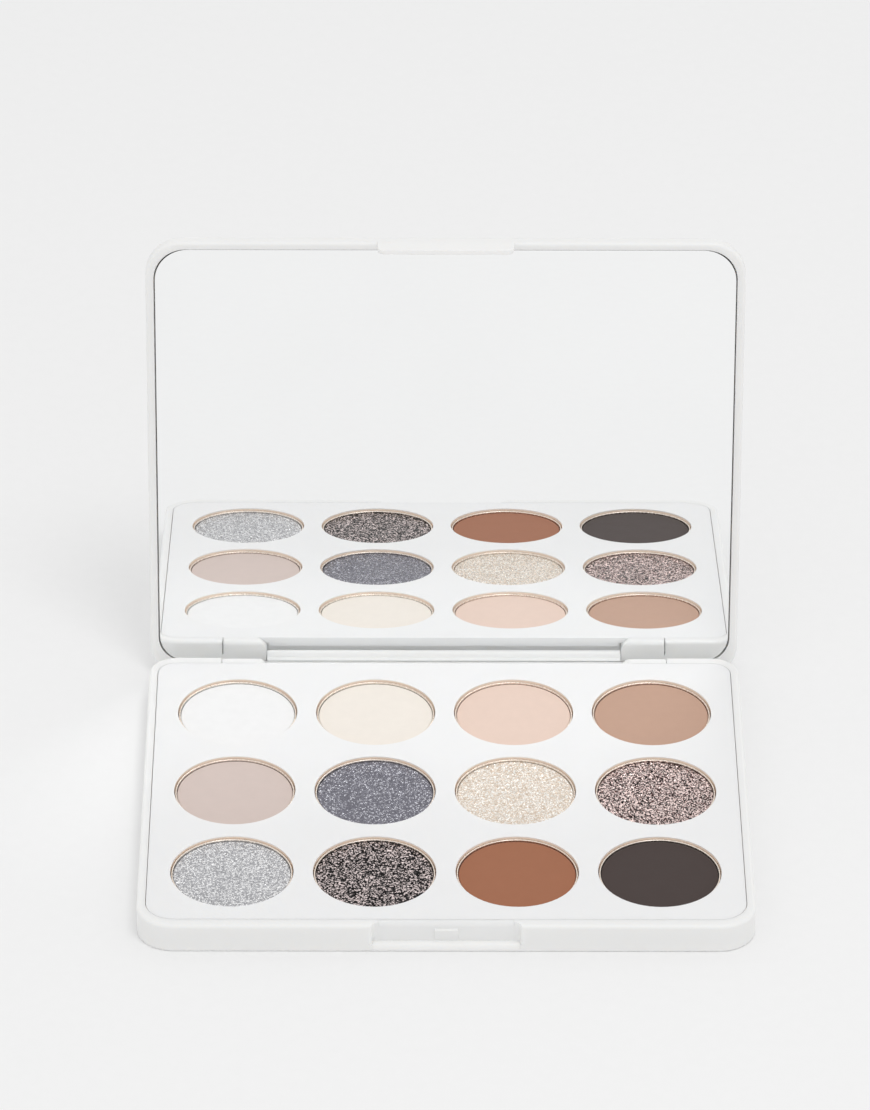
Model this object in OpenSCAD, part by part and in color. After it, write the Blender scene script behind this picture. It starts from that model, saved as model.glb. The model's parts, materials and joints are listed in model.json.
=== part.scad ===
// Slim hinged eyeshadow palette: twelve round pressed-powder pans in a flat
// plastic case, with a mirror in the lid, a catch at the front and a pinned
// hinge at the back. Millimetres. The origin is the centre of the base's
// underside, +Z is up and +Y points from the catch to the hinge.
// The lid is drawn fully open, leaning back against its stop.

/* [Case] */
// Width of the case, side to side
case_w = 132.5; // [130:0.5:150]
// Depth of the closed case, catch to hinge
case_d = 105.3; // [105:0.1:120]
// Height of the base, from underside to the top of the tray
base_h = 6.65; // [6.4:0.05:9]
// Thickness of the lid
lid_t = 4.75; // [4.5:0.05:6]
// Radius of the front corners, seen from above
corner_r = 8; // [6.5:0.1:9]
// Radius of the back corners, seen from above
back_corner_r = 6; // [5.5:0.1:6.5]
// Gap between the lid's rim and the base when closed
closed_gap = 0.3; // [0.25:0.05:0.6]
// Rounding of the base's top edge and of the lid's rim
edge_r = 0.7; // [0.3:0.05:0.9]
// Rounding of the base's foot edge
foot_r = 0.35; // [0.2:0.05:0.4]
// Rounding of the lid's outer face
lid_back_r = 2.2; // [1.5:0.1:2.5]

/* [Pans] */
// Number of pans side by side
columns = 4; // [2:1:4]
// Number of rows of pans
rows = 3; // [2:1:3]
// Centre distance between columns
column_pitch = 30.73; // [29:0.01:31]
// Centre distance between rows
row_pitch = 31.16; // [29:0.01:31.5]
// Outer diameter of a round metal pan
pan_d = 26.2; // [24:0.1:26.2]
// Height of a pan
pan_h = 3.95; // [3:0.05:4.1]
// Thickness of a pan's wall and floor
pan_t = 0.25; // [0.2:0.01:0.4]
// Radial gap between a pan and the tray's opening
pan_gap = 0.2; // [0.15:0.05:0.5]
// Depth of the powder's surface below the pan's rim
powder_drop = 0.35; // [0.1:0.05:0.6]
// Distance of the pan grid's centre in front of the case's centre
grid_shift = 0.95; // [0:0.05:1.2]

/* [Hinge] */
// Angle to which the lid opens
open_angle = 96.93; // [60:0.01:97]
// Distance of the hinge axis from the back of the case
hinge_inset = 1.35; // [1.3:0.01:1.6]
// Height of the hinge axis above the underside
hinge_z = 2.35; // [2.2:0.01:2.6]
// Diameter of the steel hinge pins
pin_d = 1.2; // [1:0.05:1.3]
// Radius of the lid's hinge barrel
barrel_r = 1.65; // [1.5:0.01:1.7]
// Width of the gap in the back of the base that takes the barrel
recess_w = 80.4; // [60:0.1:84]
// Length of each knuckle beside that gap
knuckle_l = 9.8; // [8:0.1:12]

/* [Catch] */
// Width of the finger notch in the front of the base
notch_w = 31.6; // [26:0.1:36]
// Depth of the finger notch, front to back
notch_d = 1.6; // [1.4:0.05:1.8]
// Height of the finger notch
notch_h = 4.85; // [4.6:0.05:4.85]
// Width of the lid's tongue
tongue_w = 30; // [24:0.1:30]
// Length of the tongue below the lid's rim
tongue_l = 4.3; // [3.8:0.05:4.4]
// Width of the catch nub
nub_w = 5; // [4:0.1:6]

/* [Hidden] */
$fn = 96;

over = 1;                        // how far a cutter runs past what it cuts
front_y = -case_d / 2;
back_y = case_d / 2;

// Base shell
floor_t = 1.2;
side_rim = 1.85;
front_rim = 2.6;
back_rim = 2.55;
pocket_r = corner_r - side_rim;
back_pocket_r = back_corner_r - side_rim;
recess_wall_y = 49.4;            // back face of the wall in front of the barrel
recess_wall_t = 1;
recess_wall_side = 1;             // how far that wall runs past the gap at each end
recess_wall_top = base_h - 1.3;
recess_flare_r = 2.5;
knuckle_r = 1.1;
slit_w = 0.2;
slit_depth = 3.2;

// Tray
tray_gap = 0.12;                 // at the sides
tray_end_gap = 0.04;             // at the front and the back
tray_t = 1.2;
tray_w = case_w - 2 * (side_rim + tray_gap);
tray_front = front_y + front_rim + tray_end_gap;
tray_back = back_y - back_rim - tray_end_gap;
tray_skirt_t = 1;
tray_skirt_z = 3;
tray_lip_t = 0.45;
tray_lip_h = 2;
tray_lip_w = recess_w - 1;
well_floor_t = 0.8;
well_wall_t = 0.9;
well_r = pan_d / 2 + pan_gap;
well_floor_z = floor_t + well_floor_t;

// Pans and powders
pad_r = 9;
pad_t = 0.15;
pan_z = well_floor_z + pad_t;
pan_r = pan_d / 2;
pan_foot_r = 0.8;
pan_rim_r = 0.1;
rim_tuck = 0.01;                 // keeps the round rim just inside the pan's width
powder_gap = 0.02;
powder_z = pan_z + pan_t + powder_gap;
powder_h = pan_h - pan_t - powder_gap - powder_drop;
powder_r = pan_r - pan_t - powder_gap;
powder_edge = 0.15;
powder_foot = pan_foot_r - pan_t;

// Hinge
hinge_y = back_y - hinge_inset;
pin_r = pin_d / 2;
pin_press = 0.005;
pin_running = 0.05;
pin_in_barrel = 7;
pin_in_knuckle = 8.8;
pin_end_gap = 0.2;
pin_chamfer = 0.15;
barrel_gap = 0.15;
barrel_l = recess_w - 2 * barrel_gap;
flange_front = 0.75;

// Lid, drawn closed over the base and then opened
lid_z = base_h + closed_gap;
lid_wall_t = 1.5;
mirror_recess = 0.25;
mirror_t = 1.1;
tape_t = 0.2;
tape_inset = 0.5;                // from the mirror's edge to the tape
tape_w = 3;
mirror_gap = 0.1;                // at the front and the back
mirror_side_gap = 0.25;
mirror_w = case_w - 4.1;
mirror_front = front_y + 1.77;
mirror_back = back_y - 2.8;
mirror_r = 7.3;
mirror_back_r = 6.2;
mirror_corner_step = 0.2;        // how much tighter the lid's corners are than the mirror's
mirror_z = lid_z + mirror_recess;
tape_z = mirror_z + mirror_t;
ledge_z = tape_z + tape_t;
ledge_w = 3.6;
rib_t = 1;
rib_columns = 5;
rib_rows = 3;

// Catch
notch_corner_r = 1.3;            // inner corners, seen from above
notch_side_r = 0.9;              // outer corners, seen from above
notch_lip_r = 1.4;               // outer edge of the notch's floor
notch_top_r = 1.25;              // upper edge of the notch's back wall
tongue_t = 1;
tongue_corner_r = 1.8;
tongue_root = 1;                 // how far the tongue runs up into the lid
nub_top = 1.75;
nub_ramp_h = 0.25;
nub_out = 0.45;
nub_lean = 0.3;                  // how far the nub's face slopes back on its way down
nub_face_h = 2.2;
nub_under_h = 0.3;

// Where pan number i (0 at the back left, counted row by row) stands
function pan_x(i) = (i % columns - (columns - 1) / 2) * column_pitch;
function pan_y(i) = ((rows - 1) / 2 - floor(i / columns)) * row_pitch - grid_shift;

// Fills the corner between two edges outside a quarter circle
module corner_cutter(r, side, up) {
    difference() {
        translate([side > 0 ? 0 : -r - over, up > 0 ? 0 : -r - over])
            square([r + over, r + over]);
        circle(r);
    }
}

// A rectangle standing on y = 0, with its top and its bottom corners rounded
module rounded_section(w, h, top_r, bottom_r) {
    difference() {
        translate([-w / 2, 0]) square([w, h]);
        for (side = [-1, 1]) {
            translate([side * (w / 2 - top_r), h - top_r]) corner_cutter(top_r, side, 1);
            translate([side * (w / 2 - bottom_r), bottom_r]) corner_cutter(bottom_r, side, -1);
        }
    }
}

// The same section from its middle to one side, to be turned round a corner
module half_section(r, h, top_r, bottom_r) {
    intersection() {
        rounded_section(2 * r, h, top_r, bottom_r);
        square([r + over, h + over]);
    }
}

// A slab with round corners in plan, the back ones tighter than the front
// ones, and with rounded top and bottom edges
module rounded_slab(w, d, h, front_r, back_r, top_r, bottom_r) {
    rotate([90, 0, 90])
        linear_extrude(w - 2 * front_r, center = true) rounded_section(d, h, top_r, bottom_r);
    translate([0, d / 2 - back_r, 0]) rotate([90, 0, 90])
        linear_extrude(w - 2 * back_r, center = true) half_section(back_r, h, top_r, bottom_r);
    translate([0, (front_r - back_r) / 2, 0]) rotate([90, 0, 0])
        linear_extrude(d - front_r - back_r, center = true)
            rounded_section(w, h, top_r, bottom_r);
    for (side = [-1, 1]) {
        translate([side * (w / 2 - front_r), front_r - d / 2, 0])
            rotate_extrude() half_section(front_r, h, top_r, bottom_r);
        translate([side * (w / 2 - back_r), d / 2 - back_r, 0])
            rotate_extrude() half_section(back_r, h, top_r, bottom_r);
    }
}

// A straight-sided plate between two y values, with round corners in plan,
// the back ones tighter than the front ones
module round_plate(w, front, back, z, h, front_r, back_r) {
    translate([0, 0, z]) linear_extrude(h) {
        translate([-w / 2 + front_r, front]) square([w - 2 * front_r, back - front]);
        translate([-w / 2, front + front_r])
            square([w, back - back_r - front - front_r]);
        translate([-w / 2 + back_r, back - front_r]) square([w - 2 * back_r, front_r]);
        for (side = [-1, 1]) {
            translate([side * (w / 2 - front_r), front + front_r]) circle(front_r);
            translate([side * (w / 2 - back_r), back - back_r]) circle(back_r);
        }
    }
}

// A block that runs along X, centred on x = 0
module bar(w, front, back, low, high) {
    translate([-w / 2, front, low]) cube([w, back - front, high - low]);
}

// The pocket that takes the tray, with the wall left standing before the barrel
module tray_pocket() {
    difference() {
        round_plate(case_w - 2 * side_rim, front_y + front_rim, back_y - back_rim,
                    floor_t, base_h, pocket_r, back_pocket_r);
        bar(recess_w + 2 * recess_wall_side, recess_wall_y - recess_wall_t, back_y, 0,
            recess_wall_top);
    }
}

// The gap in the back edge, with its upper corners rounded outwards
module hinge_recess() {
    bar(recess_w, recess_wall_y, back_y + over, -over, base_h + over);
    for (side = [-1, 1])
        translate([side * (recess_w / 2 + recess_flare_r), back_y + over, base_h - recess_flare_r])
            rotate([90, 0, 0])
                linear_extrude(over + back_rim) corner_cutter(recess_flare_r, -side, 1);
}

// Rounds the upper back edge of each knuckle and parts it from the back wall
module knuckle_cuts() {
    for (side = [-1, 1])
        translate([side * (recess_w + knuckle_l) / 2, 0, 0]) {
            translate([0, back_y - knuckle_r, base_h - knuckle_r])
                rotate([90, 0, 90])
                    linear_extrude(knuckle_l, center = true) corner_cutter(knuckle_r, 1, 1);
            translate([side * (knuckle_l + slit_w) / 2, 0, 0])
                bar(slit_w, back_y - back_rim - over, back_y + over,
                    base_h - slit_depth, base_h + over);
        }
}

// The finger notch, with round corners, a round lip and a round upper edge
module finger_notch() {
    bottom = base_h - notch_h;
    wall_y = front_y + notch_d;
    translate([0, 0, bottom]) linear_extrude(notch_h + over) {
        translate([-notch_w / 2, front_y - over])
            square([notch_w, notch_d + over - notch_corner_r]);
        translate([-notch_w / 2 + notch_corner_r, front_y - over])
            square([notch_w - 2 * notch_corner_r, notch_d + over]);
        for (side = [-1, 1]) {
            translate([side * (notch_w / 2 - notch_corner_r), wall_y - notch_corner_r])
                circle(notch_corner_r);
            translate([side * (notch_w / 2 + notch_side_r), front_y + notch_side_r])
                corner_cutter(notch_side_r, -side, -1);
        }
    }
    translate([0, wall_y + notch_top_r, base_h - notch_top_r]) rotate([90, 0, 90])
        linear_extrude(notch_w - 2 * notch_corner_r, center = true)
            corner_cutter(notch_top_r, -1, 1);
    translate([0, front_y + notch_lip_r, bottom - notch_lip_r]) rotate([90, 0, 90])
        linear_extrude(notch_w, center = true) corner_cutter(notch_lip_r, -1, 1);
}

// The wedge on the notch's back wall that the tongue rides over
module catch_nub() {
    top = base_h - nub_top;
    nose = top - nub_ramp_h;
    translate([-nub_w / 2, front_y + notch_d, 0]) rotate([90, 0, 90]) linear_extrude(nub_w)
        polygon([[over / 2, top], [0, top], [-nub_out, nose],
                 [nub_lean - nub_out, nose - nub_face_h],
                 [0, nose - nub_face_h - nub_under_h],
                 [over / 2, nose - nub_face_h - nub_under_h]]);
}

// A round bar along X whose inner end is at x = start, towards the given side
module cross_bar(side, start, l, r) {
    translate([side * start, hinge_y, hinge_z]) rotate([0, side * 90, 0]) cylinder(l, r = r);
}

module base_shell() {
    color("whitesmoke") {
        difference() {
            rounded_slab(case_w, case_d, base_h, corner_r, back_corner_r, edge_r, foot_r);
            tray_pocket();
            hinge_recess();
            knuckle_cuts();
            finger_notch();
            for (side = [-1, 1])
                cross_bar(side, recess_w / 2 - over, pin_in_knuckle + over, pin_r - pin_press);
        }
        catch_nub();
    }
}

// The plate with its skirt, before the wells
module tray_body() {
    front_r = pocket_r - tray_gap;
    back_r = back_pocket_r - tray_gap;
    difference() {
        round_plate(tray_w, tray_front, tray_back, tray_skirt_z, base_h - tray_skirt_z,
                    front_r, back_r);
        round_plate(tray_w - 2 * tray_skirt_t, tray_front + tray_skirt_t,
                    tray_back - tray_skirt_t, tray_skirt_z - over,
                    base_h - tray_t - tray_skirt_z + over, front_r - tray_skirt_t,
                    back_r - tray_skirt_t);
        bar(recess_w + 4 * recess_wall_side, recess_wall_y - recess_wall_t - tray_gap, back_y,
            0, base_h - tray_t);
    }
    bar(tray_lip_w, tray_back - tray_lip_t, tray_back, base_h - tray_lip_h, base_h - tray_t / 2);
}

module pan_tray() {
    color("white") difference() {
        union() {
            tray_body();
            for (i = [0:columns * rows - 1])
                translate([pan_x(i), pan_y(i), floor_t])
                    cylinder(base_h - floor_t - tray_t / 2, r = well_r + well_wall_t);
        }
        for (i = [0:columns * rows - 1])
            translate([pan_x(i), pan_y(i), well_floor_z]) cylinder(base_h, r = well_r);
    }
}

module pan_glue_pads() {
    color("goldenrod")
        for (i = [0:columns * rows - 1])
            translate([pan_x(i), pan_y(i), well_floor_z]) cylinder(pad_t, r = pad_r);
}

// Half of a pan's section: floor, rounded foot, wall and rounded rim
module pan_section() {
    inner_foot = pan_foot_r - pan_t;
    difference() {
        union() {
            square([pan_r - pan_foot_r, pan_h / 2]);
            translate([0, pan_foot_r]) square([pan_r, pan_h - pan_foot_r - pan_rim_r]);
            translate([pan_r - pan_foot_r, pan_foot_r]) circle(pan_foot_r);
            translate([pan_r - pan_t / 2 - rim_tuck, pan_h - pan_rim_r]) circle(pan_rim_r);
        }
        translate([-over, pan_t]) square([over + pan_r - pan_foot_r, pan_h]);
        translate([-over, pan_foot_r]) square([over + pan_r - pan_t, pan_h - pan_foot_r - pan_rim_r]);
        translate([pan_r - pan_foot_r, pan_foot_r]) circle(inner_foot);
    }
}

// Pan number i
module pan(i) {
    color("silver") translate([pan_x(i), pan_y(i), pan_z]) rotate_extrude()
        intersection() {
            pan_section();
            square([pan_r + over, pan_h + over]);
        }
}

// The pressed cake in pan number i, with a small bevel round its face
module powder(i, shade) {
    color(shade) translate([pan_x(i), pan_y(i), powder_z]) rotate_extrude()
        polygon([[0, 0], [powder_r - powder_foot, 0], [powder_r, powder_foot],
                 [powder_r, powder_h - powder_edge], [powder_r - powder_edge, powder_h],
                 [0, powder_h]]);
}

// A steel pin with chamfered ends, on the given side of the hinge
module hinge_pin(side) {
    start = barrel_l / 2 - pin_in_barrel + pin_end_gap;
    end = recess_w / 2 + pin_in_knuckle - pin_end_gap;
    l = end - start;
    color("slategray")
        translate([side * start, hinge_y, hinge_z]) rotate([0, side * 90, 0]) rotate_extrude()
            polygon([[0, 0], [pin_r - pin_chamfer, 0], [pin_r, pin_chamfer],
                     [pin_r, l - pin_chamfer], [pin_r - pin_chamfer, l], [0, l]]);
}

// Swings what is drawn closed back to the open position
module opened() {
    translate([0, hinge_y, hinge_z]) rotate([-open_angle, 0, 0])
        translate([0, -hinge_y, -hinge_z]) children();
}

// The tongue that drops into the finger notch
module tongue() {
    tip = lid_z - tongue_l;
    translate([0, front_y + tongue_t, 0]) rotate([90, 0, 0]) linear_extrude(tongue_t) {
        translate([-tongue_w / 2, tip + tongue_corner_r])
            square([tongue_w, tongue_l + tongue_root - tongue_corner_r]);
        translate([-tongue_w / 2 + tongue_corner_r, tip])
            square([tongue_w - 2 * tongue_corner_r, tongue_l]);
        for (side = [-1, 1])
            translate([side * (tongue_w / 2 - tongue_corner_r), tip + tongue_corner_r])
                circle(tongue_corner_r);
    }
}

// The barrel on the hinge axis and the flange that carries it
module hinge_leaf() {
    intersection() {
        translate([-barrel_l / 2, hinge_y, hinge_z]) rotate([0, 90, 0])
            cylinder(barrel_l, r = barrel_r);
        bar(barrel_l + 2 * over, hinge_y - barrel_r - over, back_y, -over, base_h);
    }
    bar(barrel_l, hinge_y - flange_front, back_y, hinge_z, lid_z + lid_back_r);
}

// A plate that lies inside the mirror's edge by the same distance all round
module inside_mirror(inset, z, h) {
    round_plate(mirror_w - 2 * inset, mirror_front + inset, mirror_back - inset, z, h,
                mirror_r - inset, mirror_back_r - inset);
}

// The hollow behind the mirror, crossed by ribs that carry the mirror's back
module lid_hollow() {
    inset = ledge_w - mirror_gap;
    hollow_w = mirror_w - 2 * inset;
    hollow_d = mirror_back - mirror_front - 2 * inset;
    roof_z = lid_z + lid_t - lid_wall_t;
    difference() {
        inside_mirror(inset, ledge_z - over, roof_z - ledge_z + over);
        for (i = [1:rib_columns - 1])
            translate([(i / rib_columns - 0.5) * hollow_w, 0, 0])
                bar(rib_t, mirror_front, mirror_back, 0, roof_z + over);
        for (i = [1:rib_rows - 1])
            translate([0, (mirror_front + mirror_back) / 2 + (i / rib_rows - 0.5) * hollow_d, 0])
                bar(hollow_w, -rib_t / 2, rib_t / 2, 0, roof_z + over);
    }
}

module lid_shell() {
    color("whitesmoke") opened() difference() {
        union() {
            translate([0, 0, lid_z])
                rounded_slab(case_w, case_d, lid_t, corner_r, back_corner_r, lid_back_r, edge_r);
            tongue();
            hinge_leaf();
        }
        round_plate(mirror_w + 2 * mirror_side_gap, mirror_front - mirror_gap,
                    mirror_back + mirror_gap, mirror_z - over, ledge_z - mirror_z + over,
                    mirror_r - mirror_corner_step, mirror_back_r - mirror_corner_step);
        lid_hollow();
        for (side = [-1, 1])
            cross_bar(side, barrel_l / 2 - pin_in_barrel, pin_in_barrel + over,
                      pin_r + pin_running);
    }
}

module mirror_tape() {
    color("tan") opened() difference() {
        inside_mirror(tape_inset, tape_z, tape_t);
        inside_mirror(tape_inset + tape_w, tape_z - over, tape_t + 2 * over);
    }
}

module mirror() {
    color("lightsteelblue") opened()
        inside_mirror(0, mirror_z, mirror_t);
}

base_shell();
pan_tray();
pan_glue_pads();
pan(0);  // pan_01
pan(1);  // pan_02
pan(2);  // pan_03
pan(3);  // pan_04
pan(4);  // pan_05
pan(5);  // pan_06
pan(6);  // pan_07
pan(7);  // pan_08
pan(8);  // pan_09
pan(9);  // pan_10
pan(10);  // pan_11
pan(11);  // pan_12
powder(0, "white");  // powder_white
powder(1, "antiquewhite");  // powder_cream
powder(2, "peachpuff");  // powder_peach
powder(3, "tan");  // powder_tan
powder(4, "thistle");  // powder_mauve
powder(5, "slategray");  // powder_slate
powder(6, "wheat");  // powder_champagne
powder(7, "rosybrown");  // powder_rose
powder(8, "silver");  // powder_silver
powder(9, "dimgray");  // powder_gunmetal
powder(10, "sienna");  // powder_rust
powder(11, "darkslategray");  // powder_espresso
hinge_pin(-1);  // hinge_pin_left
hinge_pin(1);  // hinge_pin_right
lid_shell();
mirror_tape();
mirror();
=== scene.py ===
"""An open eyeshadow palette on a pale studio floor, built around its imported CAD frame.

The moulded shells and the mirror are the frame's own shapes with their sharp edges
eased. The tin pans are turned from a profile, and the pressed powders are fine meshes
with their texture and their loose flakes modelled. The hidden parts keep their CAD
shapes and take new materials. Lengths are in metres.
"""
import json
import math
import random

import bmesh
import bpy
from mathutils import Matrix, Vector, noise
from mathutils.bvhtree import BVHTree


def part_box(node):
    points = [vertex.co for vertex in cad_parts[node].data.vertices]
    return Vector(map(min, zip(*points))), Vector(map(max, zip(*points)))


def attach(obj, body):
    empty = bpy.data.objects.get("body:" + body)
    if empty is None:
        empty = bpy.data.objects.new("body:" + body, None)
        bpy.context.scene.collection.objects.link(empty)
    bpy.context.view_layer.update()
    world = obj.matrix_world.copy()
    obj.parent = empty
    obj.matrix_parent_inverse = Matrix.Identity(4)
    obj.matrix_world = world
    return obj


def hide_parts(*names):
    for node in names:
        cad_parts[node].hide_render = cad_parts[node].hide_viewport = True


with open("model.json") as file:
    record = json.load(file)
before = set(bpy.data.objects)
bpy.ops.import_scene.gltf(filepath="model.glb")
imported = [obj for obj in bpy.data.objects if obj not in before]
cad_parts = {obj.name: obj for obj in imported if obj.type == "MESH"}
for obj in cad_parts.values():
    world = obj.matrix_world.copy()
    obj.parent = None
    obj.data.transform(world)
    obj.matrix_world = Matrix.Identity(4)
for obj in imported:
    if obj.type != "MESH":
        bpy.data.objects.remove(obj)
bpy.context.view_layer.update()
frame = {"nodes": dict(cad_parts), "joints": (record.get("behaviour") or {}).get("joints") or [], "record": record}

MM = 0.001
RECORD = frame["record"]
BODIES = {node: body for body, nodes in RECORD["behaviour"]["bodies"].items() for node in nodes}


# ---------------------------------------------------------------- shader building

def srgb(red, green, blue):
    """A colour given as it looks on a screen, 0 to 255, as the linear colour shaders take."""
    def linear(value):
        value /= 255
        return value / 12.92 if value <= 0.04045 else ((value + 0.055) / 1.055) ** 2.4
    return linear(red), linear(green), linear(blue), 1.0


def shade(colour, factor):
    """A colour made lighter or darker."""
    return tuple(min(1.0, part * factor) for part in colour[:3]) + (1.0,)


class Shader:
    """A node material while it is built."""

    def __init__(self, name):
        self.material = bpy.data.materials.new(name)
        self.material.use_nodes = True
        self.tree = self.material.node_tree
        self.tree.nodes.clear()
        self.surface = self.add("ShaderNodeBsdfPrincipled")
        output = self.add("ShaderNodeOutputMaterial")
        self.tree.links.new(self.surface.outputs["BSDF"], output.inputs["Surface"])
        self.place = self.add("ShaderNodeTexCoord").outputs["Object"]

    def add(self, kind, **settings):
        node = self.tree.nodes.new(kind)
        for key, value in settings.items():
            setattr(node, key, value)
        return node

    def put(self, socket, value):
        """Links a socket to another, or sets it to a constant."""
        if isinstance(value, bpy.types.NodeSocket):
            self.tree.links.new(value, socket)
        else:
            socket.default_value = value

    def feed(self, node, **inputs):
        """Puts a node's inputs by name; a name's underscores stand for spaces."""
        for key, value in inputs.items():
            self.put(node.inputs[key.replace("_", " ")], value)
        return node

    def noise(self, grain, detail=2.0, roughness=0.5):
        """Cloudy noise from 0 to 1 whose features are about grain metres across."""
        node = self.feed(self.add("ShaderNodeTexNoise"), Vector=self.place, Scale=1 / grain,
                         Detail=detail, Roughness=roughness)
        return node.outputs["Fac"]

    def cells(self, grain):
        """Three random values, as a colour, for each cell about grain metres across."""
        node = self.feed(self.add("ShaderNodeTexVoronoi"), Vector=self.place, Scale=1 / grain)
        return node.outputs["Color"]

    def channel(self, colour, index):
        return self.feed(self.add("ShaderNodeSeparateColor"), Color=colour).outputs[index]

    def coordinate(self, axis):
        """Where a point lies along x, y or z, axis 0, 1 or 2."""
        return self.feed(self.add("ShaderNodeSeparateXYZ"), Vector=self.place).outputs[axis]

    def vectors(self, operation, *operands):
        """The result of a vector operation on sockets or constants, in order."""
        node = self.add("ShaderNodeVectorMath", operation=operation)
        for socket, value in zip(node.inputs, operands):
            self.put(socket, value)
        return node.outputs[0]

    def ramp(self, factor, *stops):
        """A colour ramp through (position, colour) stops."""
        node = self.feed(self.add("ShaderNodeValToRGB"), Fac=factor)
        elements = node.color_ramp.elements
        while len(elements) < len(stops):
            elements.new(0.5)
        for element, (position, colour) in zip(elements, stops):
            element.position = position
            element.color = colour
        return node.outputs["Color"]

    def remap(self, value, low, high, from_low=0.3, from_high=0.7):
        """Stretches a value between from_low and from_high to run from low to high."""
        node = self.feed(self.add("ShaderNodeMapRange"), Value=value, From_Min=from_low,
                         From_Max=from_high, To_Min=low, To_Max=high)
        return node.outputs["Result"]

    def mix(self, factor, first, second):
        """The first colour where the factor is 0, the second where it is 1."""
        node = self.add("ShaderNodeMix", data_type="RGBA", blend_type="MIX")
        # The colour mix uses sockets 0, 6 and 7, and its result is socket 2
        for index, value in ((0, factor), (6, first), (7, second)):
            self.put(node.inputs[index], value)
        return node.outputs[2]

    def bump(self, height, distance):
        node = self.feed(self.add("ShaderNodeBump"), Height=height, Distance=distance,
                         Strength=1.0)
        return node.outputs["Normal"]

    def finish(self, **inputs):
        self.feed(self.surface, **inputs)
        return self.material


# ---------------------------------------------------------------- materials

def moulded_plastic(name, colour, roughness, painted_bounce=None, painted_bounce_top=0.0, painted_bounce_back=0.0):
    """White moulded plastic: faint flow clouding and a satin surface with a fine grain.

    Given a bounce colour, whatever is lower than the given top height and in front of the
    given back limit takes that colour instead: painted reflected light, the warm light that
    the pan metal throws on the walls round the pans, not the plastic's own colour.
    """
    clouding = 0.985
    bounce_fade_down, bounce_fade_back = 0.3 * MM, 0.1 * MM
    s = Shader(name)
    cloud = s.noise(9 * MM, detail=3)
    grain = s.noise(0.35 * MM, detail=2)
    tint = s.ramp(cloud, (0.3, shade(colour, clouding)), (0.7, colour))
    # Painted reflected light: the walls below the deck take the warm colour thrown by the pan metal
    if painted_bounce:
        deep = s.remap(s.coordinate(2), 0.0, 1.0, painted_bounce_top, painted_bounce_top - bounce_fade_down)
        share = s.remap(s.coordinate(1), deep, 0.0, painted_bounce_back, painted_bounce_back + bounce_fade_back)
        tint = s.mix(share, tint, s.ramp(cloud, (0.3, shade(painted_bounce, clouding)), (0.7, painted_bounce)))
    return s.finish(
        Base_Color=tint,
        Roughness=s.remap(cloud, roughness - 0.04, roughness + 0.04),
        Normal=s.bump(grain, 0.004 * MM),
        Coat_Weight=0.12,
        Coat_Roughness=0.12,
        Subsurface_Weight=0.35,
        Subsurface_Radius=(1.8 * MM, 1.7 * MM, 1.55 * MM),
        Subsurface_Scale=1.0,
    )


def drawn_metal(name, colour, roughness, dust_and_shade=None, dust_and_shade_top=0.0):
    """Thin drawn sheet or wire, with fine streaks; below a given height a darker colour covers it, partly powder
    dust and partly painted shade in the gap beside the cake.
    """
    dust_and_shade_metallic = 0.1  # how metallic the metal still is under its powder dust and painted shade
    dust_and_shade_fade = 0.03 * MM
    s = Shader(name)
    streaks = s.noise(0.6 * MM, detail=4, roughness=0.6)
    tint = s.ramp(streaks, (0.25, shade(colour, 0.9)), (0.75, colour))
    metallic = 1.0
    # Below the given height the metal takes a darker powder-tinted colour: powder dust and painted shade in the
    # gap round the cake
    if dust_and_shade:
        metallic = s.remap(s.coordinate(2), dust_and_shade_metallic, 1.0, dust_and_shade_top, dust_and_shade_top + dust_and_shade_fade)
        tint = s.mix(metallic, s.ramp(streaks, (0.25, shade(dust_and_shade, 0.8)), (0.75, dust_and_shade)), tint)
    return s.finish(
        Base_Color=tint,
        Metallic=metallic,
        Roughness=s.remap(streaks, roughness - 0.06, roughness + 0.06),
        Normal=s.bump(streaks, 0.003 * MM),
    )


def silvered_glass():
    """The mirror's face."""
    s = Shader("silvered_glass")
    film = s.noise(25 * MM, detail=3)
    tint = s.ramp(film, (0.3, (0.965, 0.97, 0.97, 1)), (0.7, (0.975, 0.98, 0.98, 1)))
    return s.finish(Base_Color=tint, Metallic=1.0, Roughness=s.remap(film, 0.0, 0.008))


def cut_glass_edge():
    """The mirror's ground edge, nearly black between the silver and the lid."""
    s = Shader("cut_glass_edge")
    chips = s.noise(0.2 * MM, detail=3)
    tint = s.ramp(chips, (0.3, srgb(12, 14, 14)), (0.75, srgb(44, 52, 50)))
    return s.finish(Base_Color=tint, Roughness=0.5, Normal=s.bump(chips, 0.01 * MM))


def adhesive(name, colour):
    """Cured glue or tape, slightly clouded and uneven."""
    s = Shader(name)
    cloud = s.noise(1.5 * MM, detail=3)
    tint = s.ramp(cloud, (0.3, shade(colour, 0.85)), (0.7, colour))
    return s.finish(Base_Color=tint, Roughness=0.55, Normal=s.bump(cloud, 0.02 * MM))


def matte_powder(name, colour):
    """Pressed matte powder: a soft even colour with faint mottling and pigment specks."""
    s = Shader(name)
    mottle = s.noise(2.5 * MM, detail=4)
    specks = s.noise(0.16 * MM, detail=2)
    body = s.ramp(mottle, (0.3, shade(colour, 0.985)), (0.7, shade(colour, 1.01)))
    speckled = s.mix(s.remap(specks, 0.0, 0.3, 0.55, 0.75), body, shade(colour, 0.92))
    return s.finish(
        Base_Color=speckled,
        Roughness=0.85,
        Normal=s.bump(specks, 0.012 * MM),
        Sheen_Weight=0.15,
        Sheen_Roughness=0.5,
        Specular_IOR_Level=0.25,
    )


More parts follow.
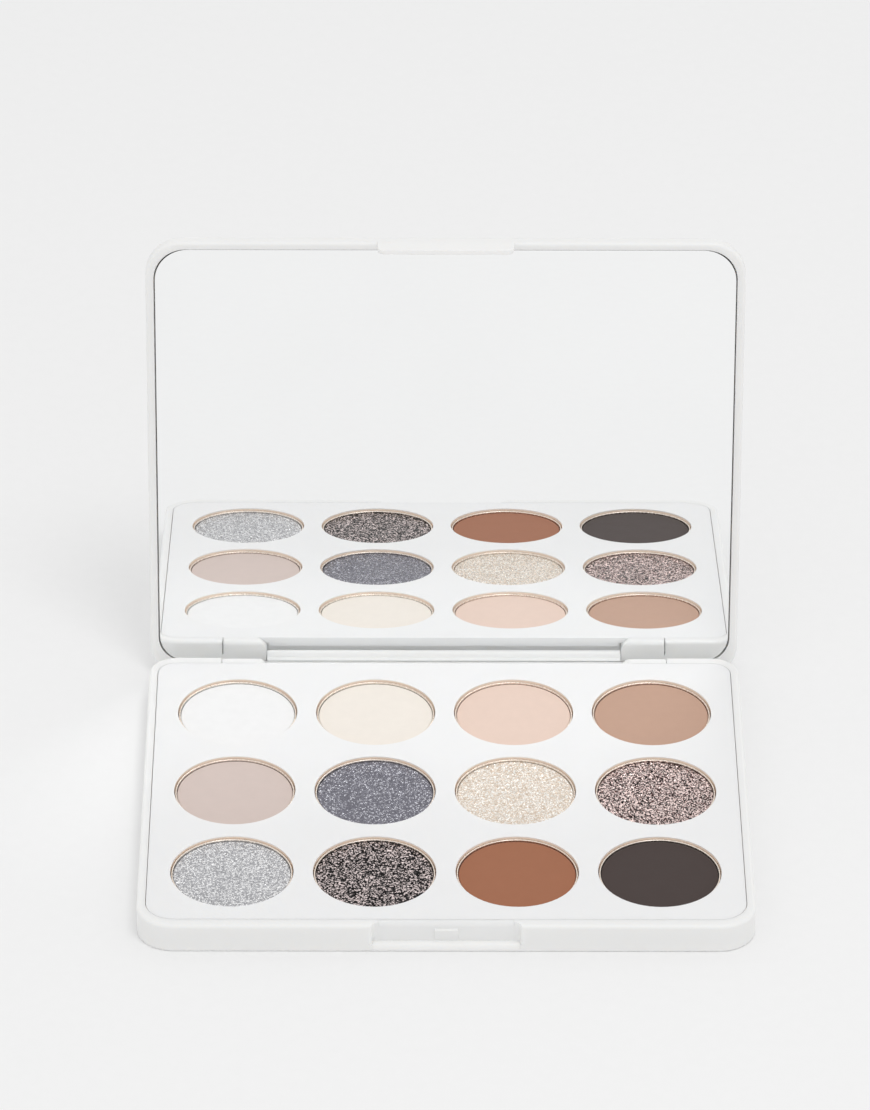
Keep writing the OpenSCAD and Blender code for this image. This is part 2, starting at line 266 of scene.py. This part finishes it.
def sparkling_powder(name, dark, middle, light, light_from, grain, metal):
    """Pressed shimmer: each grain has its own shade and leans its own way.

    Grains whose random value, 0 to 1, is over light_from have the light shade in full.
    """
    dark_below, middle_below = 0.4, 0.15  # how far under light_from the other shades lie
    s = Shader(name)
    grains = s.cells(grain)
    lean = s.vectors("SUBTRACT", grains, (0.5, 0.5, 0.5))
    upright = s.add("ShaderNodeNewGeometry").outputs["Normal"]
    leaning = s.vectors("MULTIPLY_ADD", lean, (0.7, 0.7, 0.0), upright)
    tint = s.ramp(s.channel(grains, 2), (light_from - dark_below, dark),
                  (light_from - middle_below, middle), (light_from, light))
    return s.finish(
        Base_Color=tint,
        Metallic=metal,
        Roughness=s.remap(s.channel(grains, 1), 0.18, 0.45, 0.0, 1.0),
        Normal=s.vectors("NORMALIZE", leaning),
    )


def flake_metal(name, dark, light):
    """Loose reflective flakes, each of its own shade."""
    s = Shader(name)
    each = s.add("ShaderNodeNewGeometry").outputs["Random Per Island"]
    tint = s.ramp(each, (0.0, dark), (1.0, light))
    return s.finish(Base_Color=tint, Metallic=0.9, Roughness=0.22)


def seamless_paper():
    """The floor's matte paper."""
    s = Shader("seamless_paper")
    fibres = s.noise(3 * MM, detail=4)
    tint = s.ramp(fibres, (0.3, (0.866, 0.866, 0.866, 1)), (0.7, (0.874, 0.874, 0.874, 1)))
    return s.finish(Base_Color=tint, Roughness=0.95, Specular_IOR_Level=0.05)


# ---------------------------------------------------------------- mesh building

MERGE_WITHIN = 0.002 * MM  # points this close are one point
FLAT_WITHIN = 0.2          # degrees between faces that are one flat face
CORNER_OVER = 45           # degrees between faces that meet in a corner to be eased
SHARP_OVER = 60            # degrees between faces that are shaded as a sharp edge
CAKE_SHARP_OVER = 55
ON_AXIS = 1e-9             # a profile's point nearer than this is on the axis


def new_piece(name, build, *materials):
    """Turns a finished bmesh into an object of the scene."""
    mesh = bpy.data.meshes.new(name)
    build.to_mesh(mesh)
    build.free()
    piece = bpy.data.objects.new(name, mesh)
    bpy.context.scene.collection.objects.link(piece)
    for material in materials:
        mesh.materials.append(material)
    return piece


def stand_for(piece, node):
    """The piece takes a CAD node's place and body: the node is hidden and the piece rides its body."""
    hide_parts(node)
    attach(piece, BODIES[node])
    return piece


def shade_smooth(piece, sharp_over):
    for face in piece.data.polygons:
        face.use_smooth = True
    piece.data.set_sharp_from_angle(angle=math.radians(sharp_over))


def smooth(piece):
    """Smooth shading that keeps flat faces flat beside their rounded edges."""
    shade_smooth(piece, SHARP_OVER)
    even = piece.modifiers.new("Even_normals", "WEIGHTED_NORMAL")
    even.keep_sharp = True
    even.weight = 100


def eased(name, node, ease, *materials):
    """A CAD node's own shape with every sharp edge rounded off, as mouldings have it."""
    build = bmesh.new()
    build.from_mesh(frame["nodes"][node].data)
    bmesh.ops.remove_doubles(build, verts=build.verts, dist=MERGE_WITHIN)
    bmesh.ops.dissolve_limit(build, angle_limit=math.radians(FLAT_WITHIN), verts=build.verts,
                             edges=build.edges)
    surface = BVHTree.FromBMesh(build)
    corner = math.radians(CORNER_OVER)
    corners = [edge for edge in build.edges if edge.calc_face_angle(0) > corner]
    bmesh.ops.bevel(build, geom=corners, offset=ease, offset_type="WIDTH", segments=3,
                    profile=0.5, affect="EDGES", clamp_overlap=False)
    # Where edges crowd, the bevel can throw a point off the shape, so it is brought back
    for vertex in build.verts:
        nearest, _, _, distance = surface.find_nearest(vertex.co)
        if distance > ease:
            vertex.co = nearest
    piece = new_piece(name, build, *materials)
    smooth(piece)
    return stand_for(piece, node)


def arc(centre_r, centre_z, radius, start, end, steps):
    """Points of a profile's round stretch, as (distance from the axis, height)."""
    turns = [math.radians(start + (end - start) * i / steps) for i in range(steps + 1)]
    return [(centre_r + radius * math.cos(t), centre_z + radius * math.sin(t)) for t in turns]


def ring(build, centre, radius, height, count):
    """New points evenly spaced on a level circle."""
    turns = [2 * math.pi * i / count for i in range(count)]
    return [build.verts.new((centre.x + radius * math.cos(t), centre.y + radius * math.sin(t),
                             height)) for t in turns]


def turned(name, profile, centre, segments, material):
    """A closed body turned from a profile that starts and ends on the axis."""
    build = bmesh.new()
    rings = [ring(build, centre, r, z, segments) if r >= ON_AXIS
             else [build.verts.new((centre.x, centre.y, z))] for r, z in profile]
    for low, high in zip(rings, rings[1:]):
        for i in range(segments):
            j = (i + 1) % segments
            corners = [low[i % len(low)], low[j % len(low)],
                       high[j % len(high)], high[i % len(high)]]
            build.faces.new(list(dict.fromkeys(corners)))
    bmesh.ops.recalc_face_normals(build, faces=build.faces)
    piece = new_piece(name, build, material)
    smooth(piece)
    return piece


def ring_disc(build, radius, spacing):
    """Rings of points, six more in each, as close to evenly spaced as a disc allows."""
    sides = 6
    count = max(3, round(radius / spacing))
    rings = [[build.verts.new((0, 0, 0))]]
    rings += [ring(build, Vector((0, 0, 0)), radius * k / count, 0, sides * k)
              for k in range(1, count + 1)]
    for k in range(1, count + 1):
        inner, outer = rings[k - 1], rings[k]
        for side in range(sides):
            for i in range(k):
                near = outer[(side * k + i) % len(outer)]
                far = outer[(side * k + i + 1) % len(outer)]
                here = inner[(side * (k - 1) + i) % len(inner)]
                build.faces.new((near, far, here))
                if i < k - 1:
                    build.faces.new((here, far, inner[(side * (k - 1) + i + 1) % len(inner)]))
    return rings[-1]


def pressed_cake(name, node, spacing, relief, material):
    """A powder cake whose face follows relief(x, y), with a narrow groove round its top."""
    low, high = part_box(node)
    centre = (low + high) / 2
    radius = (high.x - low.x) / 2
    groove = 0.2 * MM
    groove_depth = 0.8 * MM
    chamfer = 0.12 * MM
    foot = 0.55 * MM
    edge = radius - groove
    build = bmesh.new()
    rim = ring_disc(build, edge - chamfer, spacing)
    for vertex in build.verts:
        x, y = vertex.co.x + centre.x, vertex.co.y + centre.y
        vertex.co = (x, y, high.z + relief(x, y))
    above = rim
    for r, z in ((edge, high.z - chamfer), (edge, high.z - groove_depth),
                 (radius, high.z - groove_depth), (radius, low.z + foot),
                 (radius - foot, low.z)):
        below = ring(build, centre, r, z, len(rim))
        for i in range(len(rim)):
            j = (i + 1) % len(rim)
            build.faces.new((above[i], below[i], below[j], above[j]))
        above = below
    build.faces.new(list(reversed(above)))
    bmesh.ops.recalc_face_normals(build, faces=build.faces)
    piece = new_piece(name, build, material)
    shade_smooth(piece, CAKE_SHARP_OVER)
    return stand_for(piece, node)


def noise_relief(broad, broad_height, fine, fine_height, fine_level, sink):
    """A relief of broad and fine noise features, with its middle sink below the face.

    The fine noise is taken at another level, so that it doesn't repeat the broad one.
    """
    def relief(x, y):
        slow = noise.noise(Vector((x, y, 0)) / broad)
        quick = noise.noise(Vector((x, y, fine_level)) / fine)
        return broad_height * slow + fine_height * quick - sink
    return relief


def loose_flakes(name, node, count, size, relief, seed, material):
    """Thin six-sided flakes pressed into a cake's face, each a closed little plate."""
    rim_margin = 0.4 * MM
    half_share = (0.3, 0.62)  # half a flake's width, as a share of the flakes' size
    narrowing = 0.8
    lean_spread = 16          # degrees, one standard deviation
    half_thickness = lift = 0.012 * MM
    low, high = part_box(node)
    centre = (low + high) / 2
    reach = (high.x - low.x) / 2 - rim_margin
    draw = random.Random(seed)
    build = bmesh.new()
    for _ in range(count):
        r, t = reach * math.sqrt(draw.random()), 2 * math.pi * draw.random()
        x, y = centre.x + r * math.cos(t), centre.y + r * math.sin(t)
        half = size * draw.uniform(*half_share)
        lean = Matrix.Rotation(math.radians(draw.gauss(0, lean_spread)), 3, "X")
        lean = Matrix.Rotation(2 * math.pi * draw.random(), 3, "Z") @ lean
        spot = Vector((x, y, high.z + relief(x, y) + lift))
        thick = Vector((0, 0, half_thickness))
        rim = [Vector((half * math.cos(a), narrowing * half * math.sin(a), 0))
               for a in (math.pi * k / 3 for k in range(6))]
        top = [build.verts.new(spot + lean @ (p + thick)) for p in rim]
        base = [build.verts.new(spot + lean @ (p - thick)) for p in rim]
        build.faces.new(top)
        build.faces.new(list(reversed(base)))
        for i in range(6):
            j = (i + 1) % 6
            build.faces.new((base[i], base[j], top[j], top[i]))
    piece = new_piece(name, build, material)
    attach(piece, BODIES[node])
    return piece


# ---------------------------------------------------------------- the case

tray_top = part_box("pan_tray")[1].z
rear_pans_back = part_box("pan_01")[1].y

white_case = moulded_plastic("white_case_plastic", srgb(236, 236, 235), 0.34)
# The warm colour on the tray's walls round the pans is painted reflected light from the pan metal
white_tray = moulded_plastic("white_tray_plastic", srgb(237, 237, 237), 0.42,
                             painted_bounce=srgb(240, 221, 205), painted_bounce_top=tray_top - 0.05 * MM,
                             painted_bounce_back=rear_pans_back + 1 * MM)

eased("moulded_base", "base_shell", 0.07 * MM, white_case)
eased("moulded_tray", "pan_tray", 0.02 * MM, white_tray)
eased("moulded_lid", "lid_shell", 0.06 * MM, white_case)

mirror_plate = eased("mirror_plate", "mirror", 0.06 * MM, silvered_glass(), cut_glass_edge())
SILVER_FACE, GROUND_EDGE = 0, 1
FACE_ON = 0.999  # the cosine over which a face looks straight out of the mirror
opening = math.radians(frame["joints"][0]["range_deg"][1])
mirror_outward = Vector((0, -math.sin(opening), -math.cos(opening)))
for face in mirror_plate.data.polygons:
    silvered = face.normal.dot(mirror_outward) > FACE_ON
    face.material_index = SILVER_FACE if silvered else GROUND_EDGE

hidden_looks = {
    "pan_glue_pads": adhesive("cured_glue", srgb(222, 205, 160)),
    "mirror_tape": adhesive("double_sided_tape", srgb(226, 222, 210)),
    "hinge_pin_left": drawn_metal("pin_steel_wire", (0.62, 0.62, 0.64, 1), 0.3),
}
hidden_looks["hinge_pin_right"] = hidden_looks["hinge_pin_left"]
for node, material in hidden_looks.items():
    frame["nodes"][node].material_slots[0].material = material


# ---------------------------------------------------------------- the powders

MATTE_SPACING = 0.3 * MM
SHIMMER_SPACING = 0.16 * MM
FIRST_SEED = 11
FLAKE_SHADOW = 0.6  # the darkest flake, as a share of the flakes' colour

soft_relief = noise_relief(broad=4 * MM, broad_height=0.018 * MM, fine=0.7 * MM,
                           fine_height=0.008 * MM, fine_level=7 * MM, sink=0.02 * MM)
grainy_relief = noise_relief(broad=0.9 * MM, broad_height=0.04 * MM, fine=0.3 * MM,
                             fine_height=0.05 * MM, fine_level=3 * MM, sink=0.05 * MM)

MATTE = {
    "white": srgb(237, 237, 237),
    "cream": srgb(235, 228, 219),
    "peach": srgb(227, 203, 189),
    "tan": srgb(190, 155, 135),
    "mauve": srgb(208, 192, 185),
    "rust": srgb(158, 102, 73),
    "espresso": srgb(64, 52, 49),
}
for name, colour in MATTE.items():
    pressed_cake(f"pressed_{name}", f"powder_{name}", MATTE_SPACING, soft_relief,
                 matte_powder(f"{name}_powder", colour))

# light_from is the share of a shimmer's grains short of full light, and metal is how
# metallic they are
SHIMMER = {
    "slate": {
        "grains": dict(dark=srgb(106, 105, 115), middle=srgb(124, 123, 133),
                       light=srgb(232, 232, 240), light_from=0.98, grain=0.22 * MM, metal=0.5),
        "flakes": dict(colour=srgb(230, 230, 240), count=700, size=0.15 * MM),
    },
    "champagne": {
        "grains": dict(dark=srgb(212, 193, 174), middle=srgb(234, 222, 209),
                       light=srgb(255, 254, 250), light_from=0.8, grain=0.22 * MM, metal=0.4),
        "flakes": dict(colour=srgb(255, 252, 244), count=1300, size=0.18 * MM),
    },
    "rose": {
        "grains": dict(dark=srgb(6, 0, 0), middle=srgb(92, 50, 47),
                       light=srgb(255, 232, 227), light_from=0.68, grain=0.27 * MM, metal=0.85),
        "flakes": dict(colour=srgb(255, 240, 235), count=1200, size=0.28 * MM),
    },
    "silver": {
        "grains": dict(dark=srgb(164, 164, 167), middle=srgb(198, 198, 201),
                       light=srgb(255, 255, 255), light_from=0.82, grain=0.23 * MM, metal=0.5),
        "flakes": dict(colour=srgb(250, 250, 254), count=1700, size=0.21 * MM),
    },
    "gunmetal": {
        "grains": dict(dark=srgb(3, 0, 0), middle=srgb(18, 9, 11),
                       light=srgb(240, 224, 222), light_from=0.83, grain=0.29 * MM, metal=0.85),
        "flakes": dict(colour=srgb(240, 227, 225), count=1100, size=0.28 * MM),
    },
}
for seed, (name, look) in enumerate(SHIMMER.items(), FIRST_SEED):
    node, flakes = f"powder_{name}", look["flakes"]
    pressed_cake(f"pressed_{name}", node, SHIMMER_SPACING, grainy_relief,
                 sparkling_powder(f"{name}_powder", **look["grains"]))
    bright = flakes["colour"]
    loose_flakes(f"flakes_{name}", node, flakes["count"], flakes["size"], grainy_relief, seed,
                 flake_metal(f"{name}_flakes", shade(bright, FLAKE_SHADOW), bright))


# ---------------------------------------------------------------- the pans

PAN_WALL = 0.25 * MM
PAN_FOOT = 0.8 * MM
PAN_BEAD = 0.17 * MM
PAN_SEGMENTS = 120
DUST_AND_SHADE = 0.7  # powder dust and painted shade on a pan's wall below the cake's face, as a share of its powder's colour

cake_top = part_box("powder_white")[1].z


def tin_pan(number, material):
    """A drawn pan: flat floor, round foot, thin wall and a curled rim."""
    node = f"pan_{number:02d}"
    low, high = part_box(node)
    radius = (high.x - low.x) / 2
    foot_r, foot_z = radius - PAN_FOOT, low.z + PAN_FOOT
    profile = [(0, low.z)]
    profile += arc(foot_r, foot_z, PAN_FOOT, -90, 0, 6)
    profile += arc(radius - PAN_BEAD, high.z - PAN_BEAD, PAN_BEAD, -10, 190, 10)
    profile += arc(foot_r, foot_z, PAN_FOOT - PAN_WALL, 0, -90, 6)
    profile += [(0, low.z + PAN_WALL)]
    pan = turned(f"tin_pan_{number:02d}", profile, (low + high) / 2, PAN_SEGMENTS, material)
    return stand_for(pan, node)


# The pans in their order, back row first, each darker below the cake's face in its own
# powder's colour: partly powder dust, partly painted shade in the gap round the cake
ROWS = (("white", "cream", "peach", "tan"), ("mauve", "slate", "champagne", "rose"),
        ("silver", "gunmetal", "rust", "espresso"))
for number, name in enumerate((name for row in ROWS for name in row), 1):
    powder = MATTE[name] if name in MATTE else SHIMMER[name]["grains"]["middle"]
    tin_pan(number, drawn_metal(f"{name}_pan_metal", (0.96, 0.87, 0.78, 1), 0.26,
                                dust_and_shade=shade(powder, DUST_AND_SHADE), dust_and_shade_top=cake_top))


# ---------------------------------------------------------------- stage, light and camera

def studio_floor(half):
    build = bmesh.new()
    bmesh.ops.create_grid(build, x_segments=24, y_segments=24, size=half)
    new_piece("studio_floor", build, seamless_paper())


def soft_box(name, place, aim, size, watts):
    """A large square lamp turned towards a point."""
    data = bpy.data.lights.new(name, "AREA")
    data.shape = "SQUARE"
    data.size = size
    data.energy = watts
    lamp = bpy.data.objects.new(name, data)
    lamp.location = place
    lamp.rotation_euler = (Vector(aim) - Vector(place)).to_track_quat("-Z", "Y").to_euler()
    bpy.context.scene.collection.objects.link(lamp)


def sky_dome(colour, strength):
    world = bpy.data.worlds.new("studio_dome")
    world.use_nodes = True
    background = world.node_tree.nodes["Background"]
    background.inputs["Color"].default_value = colour
    background.inputs["Strength"].default_value = strength
    bpy.context.scene.world = world


def viewpoint(aim, distance, azimuth, elevation, roll, lens):
    """The camera, distance away from aim along the given direction; angles in degrees."""
    turn, rise = math.radians(azimuth), math.radians(elevation)
    ahead = Vector((math.sin(turn) * math.cos(rise), math.cos(turn) * math.cos(rise),
                    -math.sin(rise)))
    right = Vector((math.cos(turn), -math.sin(turn), 0))
    basis = Matrix((right, right.cross(ahead), -ahead)).transposed()
    basis = basis @ Matrix.Rotation(math.radians(roll), 3, "Z")
    data = bpy.data.cameras.new("studio_camera")
    data.lens = lens
    data.clip_end = 20
    camera = bpy.data.objects.new("studio_camera", data)
    camera.matrix_world = Matrix.Translation(aim - ahead * distance) @ basis.to_4x4()
    bpy.context.scene.collection.objects.link(camera)
    bpy.context.scene.camera = camera


studio_floor(half=4.0)
sky_dome(colour=(1, 1, 1, 1), strength=0.9)
soft_box("front_overhead_box", place=(0.28, -0.42, 1.26), aim=(0, 0, 0), size=0.45, watts=2.4)
viewpoint(aim=Vector((-0.0019, 0.0959, tray_top)), distance=1.617, azimuth=0.34,
          elevation=32.14, roll=0.26, lens=227.2)
bpy.context.scene.view_settings.view_transform = "Standard"
# The mirror throws the lamp's light back on the tray and the rear powders. Cycles' default
# blurs that reflection away and leaves them darker.
bpy.context.scene.cycles.blur_glossy = 0
